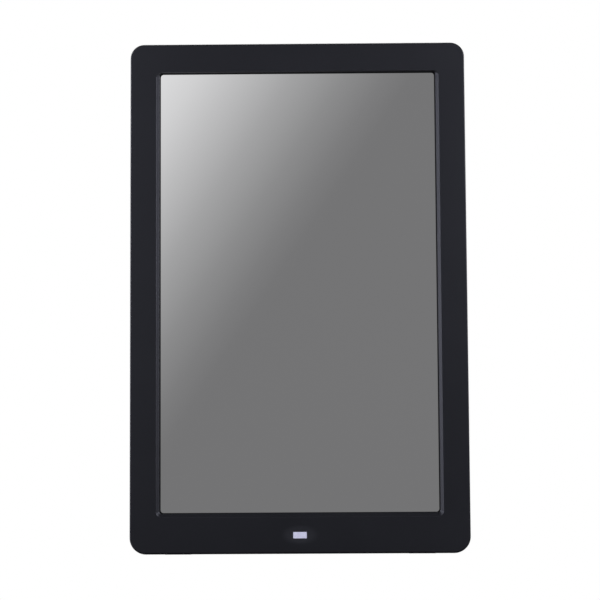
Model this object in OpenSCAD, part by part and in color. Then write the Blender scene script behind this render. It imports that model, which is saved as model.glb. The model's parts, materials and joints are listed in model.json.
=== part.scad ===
// Digital photo frame with a 12.1 inch 16:10 screen, standing upright on a folding rear leg.
// Every piece is drawn with the frame upright: x across, y from the front face to the back, z up from
// the bottom edge. place() then leans the frame back on its leg and puts the floor at z = 0.

/* [Case] */
// Width of the front bezel
body_w = 199.9; // [198:0.1:204]
// Height of the front bezel
body_h = 303.1; // [301:0.1:306]
// Depth of the bezel's side walls
bezel_d = 12; // [11.5:0.5:12.5]
// Depth from the front face to the rear cover's rim
rim_y = 23; // [22.5:0.5:24]
// Depth from the front face to the rear cover's raised centre
hump_y = 28; // [28:0.5:29]
// Radius of the two top corners
top_r = 8.4; // [6:0.1:10]
// Radius of the two bottom corners
bottom_r = 9.7; // [6:0.1:12]
// Rounding of the bezel's front edge
edge_r = 1.3; // [0.8:0.1:2]
// Thickness of the bezel's side walls
wall = 2.2; // [2:0.1:2.4]

/* [Screen opening] */
// Width of the opening in the front plate
opening_w = 165.4; // [160:0.1:165.6]
// Height of the opening in the front plate
opening_h = 262; // [258:0.1:263]
// Height of the bezel below the opening
opening_z = 23.6; // [23:0.1:26]
// Width of the sloped lip at each side
lip_side = 1.6; // [1:0.1:4]
// Width of the sloped lip at the bottom
lip_bottom = 2; // [1:0.1:4]
// Width of the sloped lip at the top
lip_top = 0.5; // [0.3:0.1:4]
// Depth of the upright step behind the sloped lip
lip_step = 1.1; // [0.4:0.1:1.6]
// Corner radius of the opening
opening_r = 1.5; // [0.5:0.1:3]
// Corner radius of the lip's outer edge
lip_r = 3.2; // [2:0.1:5]
// Thickness of the bezel's front plate
plate_t = 2.4; // [2.2:0.1:2.4]

/* [Stand] */
// Angle the frame leans back from the vertical
lean = 15; // [12:1:18]
// Angle between the frame's back and the open leg
leg_open = 35; // [33:1:38]
// Height of the turntable's centre, and its distance to the side that is down in landscape
pivot_z = 100; // [98:1:102]
// Distance from the turntable's centre up to the leg's hinge
hinge_rise = 16; // [15:0.5:17]
// Radius of the turntable
table_r = 28; // [26:1:30]
// Width of the leg at its foot
leg_w = 54; // [44:1:60]

/* [Keys] */
// Distance between neighbouring keys
key_pitch = 12; // [11:0.5:13]
// Radius of a key's cap
key_r = 3.9; // [3.4:0.1:4.2]
// Height of the key caps over the rear cover
key_proud = 1; // [0.6:0.1:1.4]

/* [Hidden] */
$fn = 48;

arc_steps = 8;
edge_steps = 4;
slack = 0.1;                 // gap between pieces that lie side by side

// Rear cover
cover_inset = 2.5;           // the cover's outline inside the bezel's outline
cover_t = 2;
cover_edge_r = 3.5;
skirt_y = 9.5;               // the cover's skirt reaches this far into the bezel
cover_w = body_w - 2 * cover_inset;
hump_w = 152;
hump_z = [26, 276];
hump_r = 12;
hump_edge_r = 3;
hump_in_y = hump_y - cover_t;
rim_in_y = rim_y - cover_t;
cover_x = cover_w / 2;       // outer face of the cover's side wall

// Case screws
screw_r = 1.2;
hole_r = 1.25;               // pilot holes, a little over the screws
head_r = 2.5;
case_screw_x = 90;
case_screw_z = [9.75, 101, 201.5, body_h - 9.75];
boss_y = 14;                 // where the bezel's bosses meet the cover's wells
well_r = 3.5;
well_wall = 1.1;
well_floor = 2;

// LCD module, from its front to its back
opening_mid = opening_z + opening_h / 2;
module_w = 173;
module_h = 274;
module_y = plate_t + 0.05;
sheet_t = 0.3;
film_y = module_y + 0.15;
glass_y = module_y + sheet_t + 0.05;
glass_t = 1.4;
diffuser_y = glass_y + glass_t + 0.1;
diffuser_step = 0.25;
diffuser_t = 0.2;
guide_y = diffuser_y + 3 * diffuser_step + 0.05;
guide_t = 2;
reflector_y = guide_y + guide_t + 0.1;
tray_y = reflector_y + 0.3;
tray_t = 0.5;
tray_back = tray_y + tray_t;
bracket_t = 0.8;
bracket_z = [60, 245];

// Infrared window in the bottom of the bezel
window_w = 8.1;
window_h = 3.9;
window_z = 10.9;
dish_w = 19.5;
dish_h = 10.4;
dish_t = 0.35;
ir_board_y = 6;
ir_board_t = 1;
ir_post_x = 8.5;

// Main board and its sockets, which open through the cover's right side
board_y = 12.2;              // the board's front; its parts are on the side towards the cover
board_t = 1.6;
board_face = board_y + board_t;
board_x = [30, 93];
board_z = [108.5, 194];
board_post = [[36, 114], [36, 188], [62, 114], [62, 188]];
port_x = cover_x - 0.25;     // mouths of the sockets
dc_z = 117;
audio_z = 130;
usb_z = 146;
mini_z = 160.5;
card_z = 179;
cell_at = [75, 128];

// Keys: cap centres from the enter key, which is at key_mid
key_mid = [-55.5, 228];
key_row = 28;                // the row of three above the enter key
key_board_y = 18;
key_board_t = 1.6;
switch_h = 3.5;
plunger_h = 0.8;
key_gap = 0.7;               // free travel between a key and its switch
flange_t = 1.2;
key_post = [[-73, 209], [-43, 209], [-73, 267], [-43, 267]];

// Speakers, grilles and vents
speaker_at = [[-57, 54], [57, 54]];
speaker_r = 15;
grille_pitch = 3.4;
grille_rings = 3;
grille_hole_r = 0.9;
vent_n = 9;
vent_pitch = 5;
vent_w = 2.2;
vent_z = [222, 246];

// Keyhole slots: entry centre, and the direction the narrow slot runs in degrees
keyholes = [[-32, 257, 90], [32, 257, 90], [57, 100, 0], [57, 206, 0]];
entry_r = 4.25;
slot_r = 2.25;
slot_run = 9;
pocket_depth = 4;
pocket_wall = 1.2;

// Turntable and leg hinge
table_gap = 0.2;
table_t = 3.3;
table_y = hump_y + table_gap;
table_back = table_y + table_t;
hub_r = 12;
ring_r = 18;
ring_t = 1.6;
ring_gap = 0.2;
stop_w = 6;                  // width of the tab that ends the quarter turn
stop_r = [18.8, 22];
hinge_r = 4;
hinge_y = table_back + hinge_r + 0.5;
hinge_z = pivot_z + hinge_rise;
pin_r = 1.5;
barrel_w = 31.6;
washer_t = 0.4;
washer_play = 0.05;
ear_t = 4.7;
leg_t = 4.5;
leg_front = hinge_y - hinge_r + 0.2;   // the folded leg's front face
leg_neck_w = 31;
foot_len = 6;
rib_n = 5;
rib_w = 1.4;
heel_back = 2;

// Feet
foot_proud = 0.7;
side_foot_proud = 0.6;
foot_sunk = 0.4;
foot_y = [6.5, 11.4];
foot_w = 16;
foot_x = 72;
side_foot_z = [62, 240];

// Place in the world: the rear edge of the base feet is what stands on the floor
lift = foot_y[1] * sin(lean) + foot_proud * cos(lean);
hinge_height = hinge_z * cos(lean) - hinge_y * sin(lean) + lift;
leg_slant = leg_open - lean;           // the open leg's angle from the vertical
leg_reach = hinge_height / cos(leg_slant);
front_y = edge_r * (cos(lean) + sin(lean) - 1);
back_y = hinge_y * cos(lean) + hinge_z * sin(lean) + hinge_height * tan(leg_slant)
    + (leg_front + leg_t - hinge_y + 0.3) / cos(leg_slant);
mid_y = (front_y + back_y) / 2;
// The heel stops the leg when its corner meets the turntable
heel_rise = (hinge_y - table_back - 0.05 - heel_back * cos(leg_open)) / sin(leg_open);

function arc(cx, cz, r, a) =
    [for (i = [0 : arc_steps]) [cx + r * cos(a + 90 * i / arc_steps), cz + r * sin(a + 90 * i / arc_steps)]];

// Rounded outline with one radius for the top corners and one for the bottom corners
function outline(w, z0, z1, rt, rb) = concat(
    arc(w / 2 - rt, z1 - rt, rt, 0), arc(rt - w / 2, z1 - rt, rt, 90),
    arc(rb - w / 2, z0 + rb, rb, 180), arc(w / 2 - rb, z0 + rb, rb, 270));

// Leans the frame back and stands it on the floor
module place() translate([0, -mid_y, lift]) rotate([-lean, 0, 0]) children();

// Turns a flat shape drawn in x and z into a slab from y0 to y1
module slab(y0, y1) translate([0, y1, 0]) rotate([90, 0, 0]) linear_extrude(y1 - y0) children();

// Round post along y
module post(at, y0, y1, r) translate([at[0], y1, at[1]]) rotate([90, 0, 0]) cylinder(h = y1 - y0, r = r);

// Block from one corner to the other
module block(a, b) translate(a) cube(b - a);

module panel(w, z0, z1, rt, rb, y0, y1) slab(y0, y1) polygon(outline(w, z0, z1, rt, rb));

// Panel with its front edge (side = -1) or back edge (side = 1) rounded by e
module soft_panel(w, z0, z1, rt, rb, y0, y1, e, side)
    hull() for (i = [0 : edge_steps]) {
        in = e * (1 - cos(90 * i / edge_steps));
        cut = e * (1 - sin(90 * i / edge_steps));
        panel(w - 2 * in, z0 + in, z1 - in, rt - in, rb - in,
            y0 + (side < 0 ? cut : 0), y1 - (side > 0 ? cut : 0));
    }

// Rectangular plate centred on the LCD module
module lcd_plate(w, h, y0, y1)
    block([-w / 2, y0, opening_mid - h / 2], [w / 2, y1, opening_mid + h / 2]);

// Screw with a cross recess in the outer face of its head
module screw(at, head_y, tip_y, r = screw_r, head = head_r, head_t = 1.6) {
    out = head_y > tip_y ? 1 : -1;
    face = head_y + out * head_t;
    arm = 0.6 * head;
    slot = 0.14 * head;
    difference() {
        union() {
            post(at, min(head_y, tip_y), max(head_y, tip_y), r);
            post(at, min(head_y, face), max(head_y, face), head);
        }
        for (s = [[arm, slot], [slot, arm]]) translate([at[0], 0, at[1]])
            block([-s[0], face - out * (head_t / 2) - (out < 0 ? 1 : 0), -s[1]],
                [s[0], face - out * (head_t / 2) + (out > 0 ? 1 : 0), s[1]]);
    }
}

// ---- Front ----

module opening_cut() {
    top = opening_z + opening_h;
    slope = plate_t - lip_step;
    hull() {
        panel(opening_w + 2 * lip_side, opening_z - lip_bottom, top + lip_top, lip_r, lip_r, -0.02, 0);
        panel(opening_w, opening_z, top, opening_r, opening_r, slope, slope + 0.02);
    }
    panel(opening_w, opening_z, top, opening_r, opening_r, slope, plate_t + 1);
}

module case_screw_places() for (x = [-1, 1], z = case_screw_z) translate([x * case_screw_x, 0, z]) children();

module front_bezel() color("#26262a") place() difference() {
    union() {
        difference() {
            soft_panel(body_w, 0, body_h, top_r, bottom_r, 0, bezel_d, edge_r, -1);
            panel(body_w - 2 * wall, wall, body_h - wall, top_r - wall, bottom_r - wall, plate_t, bezel_d + 1);
            opening_cut();
            slab(-1, dish_t) polygon([for (a = [0 : 10 : 350])
                [dish_w / 2 * cos(a), window_z + 0.3 + dish_h / 2 * sin(a)]]);
            block([-window_w / 2, -1, window_z - window_h / 2], [window_w / 2, plate_t + 1, window_z + window_h / 2]);
        }
        case_screw_places() post([0, 0], plate_t - 0.2, boss_y, 3);
        for (x = [-1, 1], z = bracket_z) post([x * (case_screw_x + 0.5), z], plate_t - 0.2, tray_back, 2.8);
        for (x = [-1, 1]) post([x * ir_post_x, window_z], plate_t - 0.2, ir_board_y, 1.8);
    }
    case_screw_places() post([0, 0], plate_t + 1, boss_y + 1, hole_r);
    for (x = [-1, 1], z = bracket_z) post([x * (case_screw_x + 0.5), z], plate_t + 1, tray_back + 1, hole_r);
    for (x = [-1, 1]) post([x * ir_post_x, window_z], plate_t + 0.6, ir_board_y + 1, 0.85);
    for (x = [-1, 1]) foot_pocket(x * foot_x);
    for (z = side_foot_z) block([-body_w / 2 - 1, foot_y[0], z - foot_w / 2],
        [-body_w / 2 + foot_sunk, foot_y[1], z + foot_w / 2]);
}

module foot_pocket(x) block([x - foot_w / 2, foot_y[0], -1], [x + foot_w / 2, foot_y[1], foot_sunk]);

module ir_window() color("#dcdcf0") place() {
    in = slack;
    block([in - window_w / 2, dish_t, window_z - window_h / 2 + in],
        [window_w / 2 - in, plate_t + slack, window_z + window_h / 2 - in]);
    block([-window_w / 2 - 1.5, plate_t, window_z - window_h / 2 - 1.5],
        [window_w / 2 + 1.5, plate_t + 0.9, window_z + window_h / 2 + 1.5]);
}

module base_feet() color("#141414") place() for (x = [-1, 1])
    block([x * foot_x - foot_w / 2 + slack, foot_y[0] + slack, -foot_proud],
        [x * foot_x + foot_w / 2 - slack, foot_y[1], foot_sunk]);

module side_feet() color("#141414") place() for (z = side_foot_z)
    block([-body_w / 2 - side_foot_proud, foot_y[0] + slack, z - foot_w / 2 + slack],
        [-body_w / 2 + foot_sunk, foot_y[1], z + foot_w / 2 - slack]);

// ---- LCD module ----

module polariser_film() color("#727274") place() lcd_plate(module_w - 7, module_h - 10.2, film_y, glass_y);

module lcd_glass() color("#5c5c60") place() lcd_plate(module_w - 1.4, module_h - 1.4, glass_y, glass_y + glass_t);

module lcd_frame() color("#a7a9ac") place() difference() {
    lcd_plate(module_w, module_h, module_y, tray_y - 0.05);
    lcd_plate(module_w - 2 * sheet_t, module_h - 2 * sheet_t, module_y + sheet_t, tray_y + 1);
    lcd_plate(module_w - 6.6, module_h - 9.8, module_y - 1, module_y + 1);
}

module diffuser_films() color("#f2f2f2") place() for (i = [0 : 2])
    lcd_plate(module_w - 5, module_h - 6, diffuser_y + i * diffuser_step, diffuser_y + i * diffuser_step + diffuser_t);

guide_low = opening_mid - module_h / 2 + 5;

module light_guide() color("#e6f2f2") place()
    block([2.5 - module_w / 2, guide_y, guide_low], [module_w / 2 - 2.5, guide_y + guide_t, opening_mid + module_h / 2 - 3]);

module reflector_sheet() color("#fafafa") place()
    lcd_plate(module_w - 5, module_h - 6, reflector_y, reflector_y + 0.2);

module led_bar() color("#f4f0d8") place() {
    led_n = 30;
    strip_w = module_w - 8;
    low = guide_low - 3;
    block([-strip_w / 2, guide_y, low], [strip_w / 2, guide_y + guide_t, low + 1]);
    for (i = [0 : led_n - 1]) {
        x = (i + 0.5) * strip_w / led_n - strip_w / 2;
        block([x - 1.5, guide_y + 0.2, low + 0.9], [x + 1.5, guide_y + guide_t - 0.2, low + 2.4]);
    }
}

module lcd_tray() color("#9fa1a4") place() difference() {
    lcd_plate(module_w, module_h, tray_y, tray_back);
    for (z = [70 : 60 : 250]) block([-60, tray_y - 1, z], [60, tray_y + 0.2, z + 3]);
}

module panel_driver_board() color("#1f6b3a") place() {
    z = opening_mid + module_h / 2 - 18;
    block([-76, tray_back + slack, z], [76, tray_back + 1.1, z + 13]);
    for (x = [-50, -15, 20]) block([x - 5, tray_back + 1, z + 3], [x + 5, tray_back + 2.1, z + 10]);
}

module panel_brackets() color("#c4c6c8") place() for (x = [-1, 1], z = bracket_z) difference() {
    block([min(x * 78, x * 94.5), tray_back, z - 6], [max(x * 78, x * 94.5), tray_back + bracket_t, z + 6]);
    post([x * (case_screw_x + 0.5), z], tray_back - 1, tray_back + 2, hole_r);
}

module panel_screws() color("#8c8c90") place() for (x = [-1, 1], z = bracket_z)
    screw([x * (case_screw_x + 0.5), z], tray_back + bracket_t, plate_t + 1.6);

// ---- Infrared receiver ----

module ir_board() color("#1f6b3a") place() difference() {
    block([-12, ir_board_y, window_z - 6], [12, ir_board_y + ir_board_t, window_z + 5.4]);
    for (x = [-1, 1]) post([x * ir_post_x, window_z], ir_board_y - 1, ir_board_y + 2, 0.9);
}

module ir_receiver() color("#18181c") place() {
    block([-3.6, 4.1, window_z - 2.6], [1.4, ir_board_y, window_z + 2.6]);
    post([-1.1, window_z], 3.5, 4.2, 1.7);
}

module indicator_led() color("#f6f6ff") place()
    block([2, 4.6, window_z - 0.8], [3.8, ir_board_y, window_z + 0.8]);

module ir_board_screws() color("#8c8c90") place() for (x = [-1, 1])
    screw([x * ir_post_x, window_z], ir_board_y + ir_board_t, plate_t + 0.9, 0.8, 1.5, 1);

// ---- Main board ----

module main_board() color("#1d5f38") place() difference() {
    block([board_x[0], board_y, board_z[0]], [board_x[1], board_y + board_t, board_z[1]]);
    for (p = board_post) post(p, board_y - 1, board_y + board_t + 1, hole_r);
}

// Component on the board's face, t high
module part_on_board(x, z, w, h, t)
    block([x - w / 2, board_face, z - h / 2], [x + w / 2, board_face + t, z + h / 2]);

module board_chips() color("#1b1b1e") place() {
    part_on_board(55, 165, 14, 14, 1.5);
    part_on_board(55, 143, 12, 18, 1.1);
    part_on_board(38, 168, 8, 12, 1.1);
    part_on_board(48, 184, 9, 7, 1.1);
    part_on_board(50, 122, 7, 7, 3.2);
}

module capacitors() color("#3a3d52") place()
    for (p = [[67, 141], [67, 149], [44, 154]]) post(p, board_face, board_face + 6, 3);

module usb_port() color("#c9cbce") place() {
    difference() {
        block([port_x - 14, board_face, usb_z - 6.6], [port_x, board_face + 5.8, usb_z + 6.6]);
        block([port_x - 12, board_face + 0.4, usb_z - 6.2], [port_x + 1, board_face + 5.4, usb_z + 6.2]);
    }
    block([port_x - 12.5, board_face + 0.35, usb_z - 5.7], [port_x - 1, board_face + 2.2, usb_z + 5.7]);
}

module mini_usb_port() color("#c9cbce") place() {
    difference() {
        block([port_x - 9, board_face, mini_z - 3.9], [port_x, board_face + 4, mini_z + 3.9]);
        block([port_x - 8, board_face + 0.4, mini_z - 3.5], [port_x + 1, board_face + 3.6, mini_z + 3.5]);
    }
    block([port_x - 8.2, board_face + 1.6, mini_z - 2.5], [port_x - 1.5, board_face + 2.4, mini_z + 2.5]);
}

module card_slot() color("#b9bbbe") place() difference() {
    block([port_x - 27, board_face, card_z - 14], [port_x, board_face + 3.4, card_z + 14]);
    block([port_x - 26, board_face + 0.5, card_z - 12.2], [port_x + 1, board_face + 2.9, card_z + 12.2]);
}

// Round hole along x with its mouth at the socket's face
module mouth(z, y, depth, r) translate([port_x - depth, y, z]) rotate([0, 90, 0]) cylinder(h = depth + 1, r = r);

audio_y = board_face + 2.75;
dc_y = board_face + 3.4;

module headphone_jack() color("#101012") place() difference() {
    union() {
        block([port_x - 13, board_face, audio_z - 3.5], [port_x - 3.2, board_face + 5.5, audio_z + 3.5]);
        translate([port_x - 3.3, audio_y, audio_z]) rotate([0, 90, 0]) cylinder(h = 3.3, r = 2.7);
    }
    mouth(audio_z, audio_y, 12, 1.8);
}

module dc_jack() color("#101012") place() {
    difference() {
        union() {
            block([port_x - 13, board_face, dc_z - 4.5], [port_x - 3.2, board_face + 6.8, dc_z + 4.5]);
            translate([port_x - 3.3, dc_y, dc_z]) rotate([0, 90, 0]) cylinder(h = 3.3, r = 3.4);
        }
        mouth(dc_z, dc_y, 10, 2.85);
    }
    translate([port_x - 10.5, dc_y, dc_z]) rotate([0, 90, 0]) cylinder(h = 9.5, r = 1);
}

module cell_holder() color("#202024") place() difference() {
    post(cell_at, board_face, board_face + 3.2, 7);
    post(cell_at, board_face + 1, board_face + 4, 6.05);
}

module clock_cell() color("#c8cacc") place() post(cell_at, board_face + 1, board_face + 2.8, 6);

module board_screws() color("#8c8c90") place() for (p = board_post)
    screw(p, board_y, hump_in_y - 1.6);

// ---- Keys ----

// Cap centres, in the order of the key nodes
key_spots = [
    [key_mid[0] - key_pitch, key_mid[1] + key_row], [key_mid[0], key_mid[1] + key_row],
    [key_mid[0] + key_pitch, key_mid[1] + key_row], [key_mid[0], key_mid[1] + key_pitch],
    [key_mid[0], key_mid[1] - key_pitch], [key_mid[0] + key_pitch, key_mid[1]],
    [key_mid[0] - key_pitch, key_mid[1]], key_mid
];
switch_top = key_board_y + key_board_t + switch_h + plunger_h;
key_low = switch_top + key_gap;

module key(i) color("#333338") place() {
    post(key_spots[i], key_low, key_low + flange_t, key_r + 0.8);
    post(key_spots[i], key_low + flange_t - 0.01, hump_y + key_proud - 0.4, key_r);
    translate([key_spots[i][0], hump_y + key_proud - 0.4, key_spots[i][1]]) rotate([-90, 0, 0])
        cylinder(h = 0.4, r1 = key_r, r2 = key_r - 0.4);
}

module key_power() key(0);
module key_menu() key(1);
module key_back() key(2);
module key_up() key(3);
module key_down() key(4);
module key_left() key(5);
module key_right() key(6);
module key_enter() key(7);

module key_board() color("#1d5f38") place() difference() {
    block([-77, key_board_y, 205], [-39, key_board_y + key_board_t, 271]);
    for (p = key_post) post(p, key_board_y - 1, key_board_y + key_board_t + 1, hole_r);
}

module key_switches() color("#55565a") place() for (p = key_spots) {
    back = key_board_y + key_board_t;
    block([p[0] - 3, back, p[1] - 3], [p[0] + 3, back + switch_h, p[1] + 3]);
    post(p, back + switch_h - 0.01, switch_top, 1.7);
}

module key_board_screws() color("#8c8c90") place() for (p = key_post)
    screw(p, key_board_y, hump_in_y - 1);

// ---- Speakers ----

module speaker_baskets() color("#2b2b2e") place() for (p = speaker_at) difference() {
    union() {
        post(p, hump_in_y - 1.2, hump_in_y - 0.1, speaker_r);
        post(p, hump_in_y - 4.5, hump_in_y - 1.1, speaker_r - 2);
    }
    post(p, hump_in_y - 3.6, hump_in_y + 1, speaker_r - 3);
    post(p, hump_in_y - 6, hump_in_y - 3, 4);
}

module speaker_cones() color("#4a4a4e") place() for (p = speaker_at)
    translate([p[0], hump_in_y - 3.4, p[1]]) rotate([-90, 0, 0]) difference() {
        cylinder(h = 2.4, r1 = 4.5, r2 = speaker_r - 3.2);
        translate([0, 0, 0.4]) cylinder(h = 2.4, r1 = 4.1, r2 = speaker_r - 3.4);
    }

module speaker_magnets() color("#6d6f74") place() for (p = speaker_at)
    post(p, hump_in_y - 7.6, hump_in_y - 4.6, 8);

// ---- Leads ----

function unit(v) = v / norm(v);
function heading(p, i) = unit(p[min(i + 1, len(p) - 1)] - p[max(i - 1, 0)]);

// Tube of n sides along a line of points
module tube(p, r, n = 8) {
    up = [0.1, 1, 0.2];
    rings = [for (i = [0 : len(p) - 1]) let(t = heading(p, i), u = unit(cross(t, up)), v = cross(t, u))
        for (k = [0 : n - 1]) p[i] + r * cos(360 * k / n) * u + r * sin(360 * k / n) * v];
    last = (len(p) - 1) * n;
    polyhedron(rings, concat(
        [[for (k = [0 : n - 1]) k]],
        [for (i = [0 : len(p) - 2], k = [0 : n - 1]) let(m = (k + 1) % n)
            [i * n + k, (i + 1) * n + k, (i + 1) * n + m, i * n + m]],
        [[for (k = [n - 1 : -1 : 0]) last + k]]));
}

// Routes in the space between the LCD tray and the boards
lead_y = 10.2;

module speaker_leads() color("#b03030") place() {
    tube([[-58, 20.8, 65], [-57, 15, 74], [-48, lead_y, 84], [-20, lead_y, 108], [10, lead_y, 120],
        [28, lead_y, 124], [33, board_y - 0.6, 125]], 0.6);
    tube([[58, 20.8, 65], [57, 15, 76], [54, lead_y, 88], [51, lead_y, 104], [50, board_y - 0.6, 112]], 0.6);
}

module ir_lead() color("#e0e0e0") place()
    tube([[6, ir_board_y + ir_board_t + 0.7, 11], [8, 9.1, 15.5], [12, 9.6, 22], [24, lead_y, 50],
        [34, lead_y, 80], [41, lead_y, 102], [42, board_y - 0.7, 111]], 0.7);

module key_lead() color("#d8d8dc") place() {
    block([-45, lead_y, 211], [-44.6, key_board_y, 215]);
    block([-45, lead_y, 211], [34, lead_y + 0.4, 215]);
    block([30.4, lead_y, 189.6], [34, lead_y + 0.4, 215]);
    block([30.4, lead_y, 189.6], [34, board_y, 190]);
}

module lcd_cable() color("#e8e4d0") place() {
    top = opening_mid + module_h / 2 - 12;
    block([42, lead_y, 182], [58, lead_y + 0.4, top]);
    block([42, lead_y, 182], [58, board_y, 182.4]);
    block([42, tray_back + 1.1, top - 0.4], [58, lead_y + 0.4, top]);
}

// ---- Rear cover ----

module cover_shell() difference() {
    union() {
        soft_panel(cover_w, cover_inset, body_h - cover_inset, top_r - cover_inset, bottom_r - cover_inset,
            skirt_y, rim_y, cover_edge_r, 1);
        soft_panel(hump_w, hump_z[0], hump_z[1], hump_r, hump_r, rim_y - 6, hump_y, hump_edge_r, 1);
    }
    in = cover_inset + cover_t;
    soft_panel(cover_w - 2 * cover_t, in, body_h - in, top_r - in, bottom_r - in,
        skirt_y - 1, rim_in_y, cover_edge_r - cover_t + 0.5, 1);
    soft_panel(hump_w - 2 * cover_t, hump_z[0] + cover_t, hump_z[1] - cover_t, hump_r - cover_t, hump_r - cover_t,
        rim_y - 7, hump_in_y, hump_edge_r - 1, 1);
}

// Narrow slot and round entry of a keyhole, through the wall
module keyhole_cut(k) translate([k[0], 0, k[1]]) rotate([0, -k[2], 0]) {
    post([0, 0], hump_in_y - 0.1, hump_y + 1, entry_r);
    post([slot_run, 0], hump_in_y - 0.1, hump_y + 1, slot_r);
    block([0, hump_in_y - 0.1, -slot_r], [slot_run, hump_y + 1, slot_r]);
}

// Closed pocket behind a keyhole, with a grown outside and the hollow itself
module keyhole_pocket(k, grow) translate([k[0], 0, k[1]]) rotate([0, -k[2], 0])
    block([-entry_r - 1 - grow, hump_in_y - pocket_depth - grow, -entry_r - 1 - grow],
        [slot_run + entry_r + 1 + grow, hump_in_y + (grow > 0 ? 0.5 : 0), entry_r + 1 + grow]);

// Round holes in rings of six
module grille(p) {
    post(p, hump_in_y - 1, hump_y + 1, grille_hole_r);
    for (ring = [1 : grille_rings], i = [0 : 6 * ring - 1]) {
        a = i * 60 / ring;
        post(p + ring * grille_pitch * [cos(a), sin(a)], hump_in_y - 1, hump_y + 1, grille_hole_r);
    }
}

// Openings in the cover's side wall in front of each socket
module port_cuts() {
    x0 = cover_x - cover_t - 1;
    x1 = cover_x + 1;
    block([x0, board_face - 0.2, usb_z - 6.8], [x1, board_face + 6, usb_z + 6.8]);
    block([x0, board_face - 0.2, mini_z - 4.1], [x1, board_face + 4.2, mini_z + 4.1]);
    block([x0, board_face - 0.2, card_z - 14.2], [x1, board_face + 3.6, card_z + 14.2]);
    for (s = [[audio_z, audio_y, 2.9], [dc_z, dc_y, 3.6]])
        translate([x0, s[1], s[0]]) rotate([0, 90, 0]) cylinder(h = x1 - x0, r = s[2]);
}

module rear_cover() color("#1c1c1f") place() difference() {
    union() {
        cover_shell();
        case_screw_places() post([0, 0], boss_y, rim_in_y + 0.5, well_r + well_wall);
        for (p = board_post) post(p, board_face, hump_in_y + 0.5, 3);
        for (p = key_post) post(p, key_board_y + key_board_t, hump_in_y + 0.5, 2.6);
        for (k = keyholes) keyhole_pocket(k, pocket_wall);
        for (a = [0, 90]) translate([0, 0, pivot_z]) rotate([0, a, 0])
            block([(a ? -1 : 1) * (stop_w / 2 + 1.3) - 1, hump_in_y - ring_gap - ring_t, -stop_r[1]],
                [(a ? -1 : 1) * (stop_w / 2 + 1.3) + 1, hump_in_y + 0.5, -stop_r[0]]);
    }
    case_screw_places() {
        post([0, 0], boss_y + well_floor, rim_y + 1, well_r);
        post([0, 0], boss_y - 1, boss_y + well_floor + 1, hole_r);
    }
    for (p = board_post) post(p, board_y, hump_in_y - 1.5, hole_r);
    for (p = key_post) post(p, key_board_y, hump_in_y - 0.9, hole_r);
    for (k = keyholes) {
        keyhole_pocket(k, 0);
        keyhole_cut(k);
    }
    for (p = key_spots) post(p, hump_in_y - 1, hump_y + 1, key_r + 0.25);
    for (p = speaker_at) grille(p);
    for (i = [0 : vent_n - 1]) {
        x = (i - (vent_n - 1) / 2) * vent_pitch;
        block([x - vent_w / 2, hump_in_y - 1, vent_z[0]], [x + vent_w / 2, hump_y + 1, vent_z[1]]);
    }
    post([0, pivot_z], hump_in_y - 1, hump_y + 1, hub_r + 0.08);
    port_cuts();
}

module case_screws() color("#2a2a2c") place()
    case_screw_places() screw([0, 0], boss_y + well_floor, plate_t + 1.6);

module rating_label() color("#c8c8c4") place()
    block([-30, hump_y, 168], [30, hump_y + 0.15, 198]);

// ---- Stand ----

module turntable() color("#202023") place() difference() {
    union() {
        post([0, pivot_z], table_y, table_back - 0.8, table_r);
        translate([0, table_back - 0.8, pivot_z]) rotate([-90, 0, 0])
            cylinder(h = 0.8, r1 = table_r, r2 = table_r - 0.8);
        post([0, pivot_z], hump_in_y - ring_gap, table_y + 0.1, hub_r);
        for (x = [-1, 1]) {
            inner = barrel_w / 2 + washer_t + 2 * washer_play;
            x0 = min(x * inner, x * (inner + ear_t));
            block([x0, table_back - 1, hinge_z - hinge_r], [x0 + ear_t, hinge_y, hinge_z + hinge_r]);
            translate([x0, hinge_y, hinge_z]) rotate([0, 90, 0]) cylinder(h = ear_t, r = hinge_r);
        }
    }
    difference() {
        post([0, pivot_z], table_back - 0.5, table_back + 1, table_r - 3);
        post([0, pivot_z], table_back - 1, table_back + 2, table_r - 4.2);
    }
    translate([-30, hinge_y, hinge_z]) rotate([0, 90, 0]) cylinder(h = 60, r = pin_r + 0.02);
    for (a = [90, 210, 330]) post([8 * cos(a), pivot_z + 8 * sin(a)], hump_in_y - 2, table_back - 1.4, hole_r);
}

module friction_washer() color("#d8d4c4") place() difference() {
    post([0, pivot_z], hump_in_y - ring_gap + 0.02, hump_in_y - 0.02, ring_r - 1);
    post([0, pivot_z], hump_in_y - 1, hump_in_y + 1, hub_r + 0.1);
}

module clamp_ring() color("#b4b6ba") place() difference() {
    union() {
        post([0, pivot_z], hump_in_y - ring_gap - ring_t, hump_in_y - ring_gap, ring_r);
        block([-stop_w / 2, hump_in_y - ring_gap - ring_t, pivot_z - stop_r[1]],
            [stop_w / 2, hump_in_y - ring_gap, pivot_z - ring_r + 1]);
    }
    for (a = [90, 210, 330]) post([8 * cos(a), pivot_z + 8 * sin(a)], hump_in_y - 3, hump_y, hole_r);
    post([0, pivot_z], hump_in_y - 3, hump_y, 4);
}

module clamp_screws() color("#8c8c90") place() for (a = [90, 210, 330])
    screw([8 * cos(a), pivot_z + 8 * sin(a)], hump_in_y - ring_gap - ring_t, table_back - 1.5, head_t = 1.2);

module hinge_pin() color("#c2c4c8") place() translate([-20.4, hinge_y, hinge_z]) rotate([0, 90, 0])
    cylinder(h = 40.8, r = pin_r);

module hinge_washers() color("#c2c4c8") place() for (x = [-1, 1]) {
    x0 = x * (barrel_w / 2 + washer_play) - (x > 0 ? 0 : washer_t);
    translate([x0, hinge_y, hinge_z]) rotate([0, 90, 0]) difference() {
        cylinder(h = washer_t, r = 3.2);
        translate([0, 0, -1]) cylinder(h = 3, r = pin_r + 0.05);
    }
}

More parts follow.
